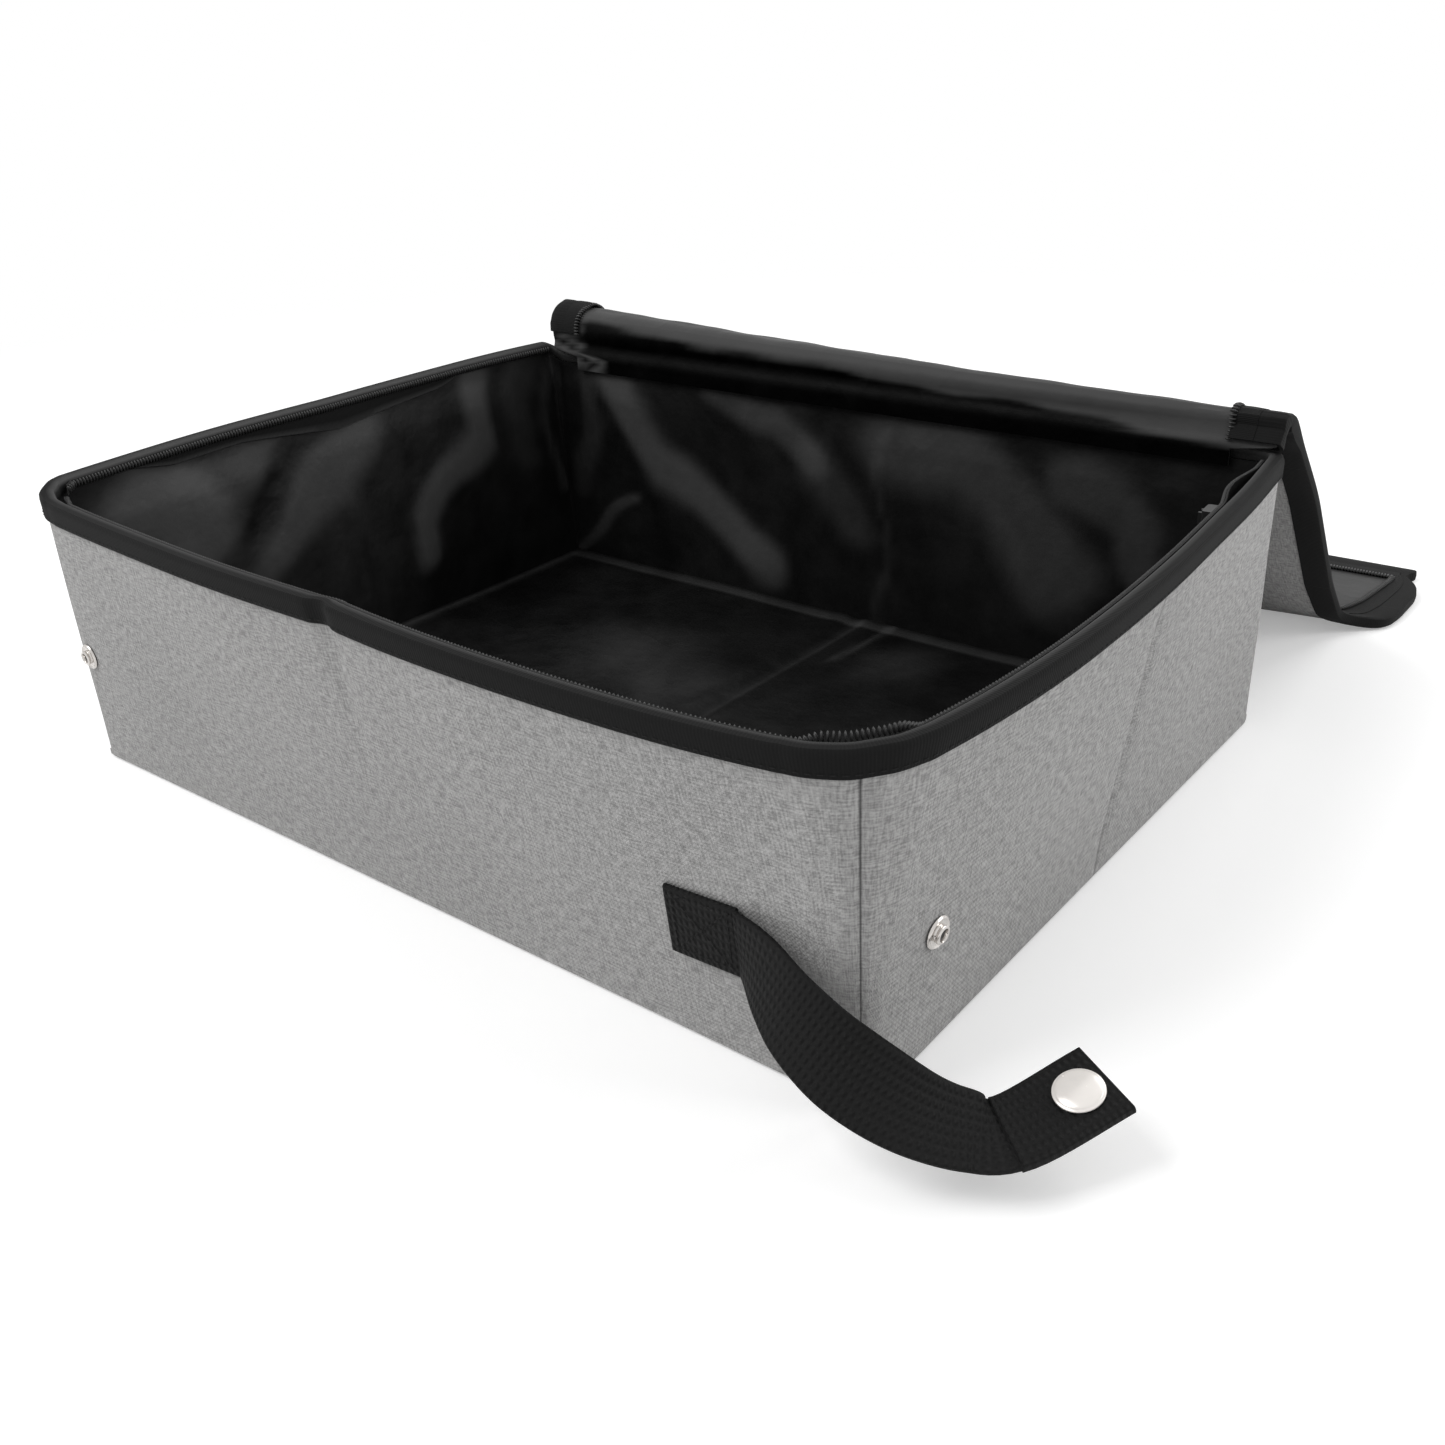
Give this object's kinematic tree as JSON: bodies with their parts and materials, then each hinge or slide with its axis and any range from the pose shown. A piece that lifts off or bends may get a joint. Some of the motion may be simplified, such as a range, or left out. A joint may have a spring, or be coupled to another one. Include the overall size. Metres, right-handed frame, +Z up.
{
  "type": "foldable pet litter tray",
  "caption": "Folding cloth litter tray for cats: stiffened fabric walls round a soft floor, a zip lid rolled back behind, and a webbing strap with a press stud.",
  "frame": {"origin": "centre of the tray's base, on the ground", "axes": "+X along the tray's long side toward the strap's end, +Y from the front wall toward the rear wall and the lid laid out behind it, +Z up"},
  "size_m": [0.4827, 0.5332, 0.1488],
  "materials": {
    "grey_cloth": "matte melange weave",
    "black_lining": "smooth coated cloth, slight sheen",
    "black_binding": "ribbed folded tape",
    "black_zip": "woven tape with a nylon coil",
    "board": "flat stiffener sheet",
    "floor_pad": "foam sheet",
    "webbing": "ribbed woven webbing",
    "nickel": "polished nickel plate",
    "zip_metal": "black lacquered metal"
  },
  "bodies": {
    "rear_wall": {"floor_cover": "grey_cloth", "floor_pad": "floor_pad", "floor_lining": "black_lining", "rear_left_board": "board", "rear_right_board": "board", "rear_cover": "grey_cloth", "rear_lining": "black_lining", "rear_binding": "black_binding"},
    "right_rear_side": {"right_rear_cover": "grey_cloth", "right_rear_board": "board", "right_rear_lining": "black_lining", "right_rear_binding": "black_binding", "right_rear_zip": "black_zip"},
    "right_front_side": {"right_front_cover": "grey_cloth", "right_front_board": "board", "right_front_lining": "black_lining", "right_front_binding": "black_binding", "right_front_zip": "black_zip", "side_stud": "nickel", "side_stud_rivet": "nickel"},
    "left_rear_side": {"left_rear_cover": "grey_cloth", "left_rear_board": "board", "left_rear_lining": "black_lining", "left_rear_binding": "black_binding", "left_rear_zip": "black_zip"},
    "left_front_side": {"left_front_cover": "grey_cloth", "left_front_board": "board", "left_front_lining": "black_lining", "left_front_binding": "black_binding", "left_front_zip": "black_zip"},
    "front_wall": {"front_left_board": "board", "front_right_board": "board", "front_cover": "grey_cloth", "front_lining": "black_lining", "front_binding": "black_binding", "front_zip": "black_zip", "front_stud": "nickel", "front_stud_rivet": "nickel", "strap_anchor": "webbing"},
    "lid_strip": {"lid_strip_cover": "grey_cloth", "lid_strip_lining": "black_lining"},
    "lid_rear_panel": {"lid_rear_cover": "grey_cloth", "lid_rear_board": "board", "lid_rear_lining": "black_lining", "lid_rear_binding": "black_binding", "lid_rear_zip": "black_zip"},
    "lid_front_panel": {"lid_front_cover": "grey_cloth", "lid_front_board": "board", "lid_front_lining": "black_lining", "lid_front_binding": "black_binding", "lid_front_zip": "black_zip"},
    "strap": {"strap_webbing": "webbing", "snap_cap": "nickel", "snap_socket": "nickel"},
    "zip_slider": {"slider_body": "zip_metal"},
    "zip_pull": {"pull_tab": "zip_metal"}
  },
  "joints": [
    {"name": "walls_fold", "type": "hinge", "parent": "rear_wall", "child": "right_rear_side", "pos_m": [0.191, 0.144, 0.059], "axis": [0, 0, -1], "range_deg": [0, 84], "deforming": ["floor_cover", "floor_pad", "floor_lining"]},
    {"name": "right_middle_fold", "type": "hinge", "parent": "right_rear_side", "child": "right_front_side", "pos_m": [0.2148, 0, 0.059], "axis": [0, 0, 1], "range_deg": [0, 168]},
    {"name": "front_right_fold", "type": "hinge", "parent": "right_front_side", "child": "front_wall", "pos_m": [0.191, -0.144, 0.059], "axis": [0, 0, -1], "range_deg": [0, 84]},
    {"name": "left_rear_fold", "type": "hinge", "parent": "rear_wall", "child": "left_rear_side", "pos_m": [-0.191, 0.144, 0.059], "axis": [0, 0, 1], "range_deg": [0, 84]},
    {"name": "left_middle_fold", "type": "hinge", "parent": "left_rear_side", "child": "left_front_side", "pos_m": [-0.2148, 0, 0.059], "axis": [0, 0, -1], "range_deg": [0, 168]},
    {"name": "lid_close", "type": "hinge", "parent": "rear_wall", "child": "lid_strip", "pos_m": [0, 0.149, 0.1241], "axis": [1, 0, 0], "range_deg": [0, 109.26]},
    {"name": "lid_roll", "type": "hinge", "parent": "lid_strip", "child": "lid_rear_panel", "pos_m": [0, 0.157, 0.147], "axis": [1, 0, 0], "range_deg": [0, 125.76]},
    {"name": "lid_crease", "type": "hinge", "parent": "lid_rear_panel", "child": "lid_front_panel", "pos_m": [0, 0.26151, 0.0041], "axis": [1, 0, 0], "range_deg": [-55.02, 0]},
    {"name": "strap_swing", "type": "hinge", "parent": "front_wall", "child": "strap", "pos_m": [0.158, -0.15572, 0.046], "axis": [0.004, -0.0826, 0.9966], "range_deg": [-50, 0]},
    {"name": "zip_slide", "type": "slide", "parent": "right_rear_side", "child": "zip_slider", "axis": [0.0893, -0.996, 0], "range_m": [-0.025, 0.06]},
    {"name": "pull_swing", "type": "hinge", "parent": "zip_slider", "child": "zip_pull", "pos_m": [0.19638, 0.07973, 0.10655], "axis": [0.0893, -0.996, 0], "range_deg": [-85, 0]}
  ],
  "couplings": [
    {"joint": "right_middle_fold", "follows": "walls_fold", "ratio": 2},
    {"joint": "front_right_fold", "follows": "walls_fold", "ratio": 1},
    {"joint": "left_rear_fold", "follows": "walls_fold", "ratio": 1},
    {"joint": "left_middle_fold", "follows": "walls_fold", "ratio": 2},
    {"joint": "lid_roll", "follows": "lid_close", "ratio": 1.1511},
    {"joint": "lid_crease", "follows": "lid_close", "ratio": -0.50356}
  ]
}
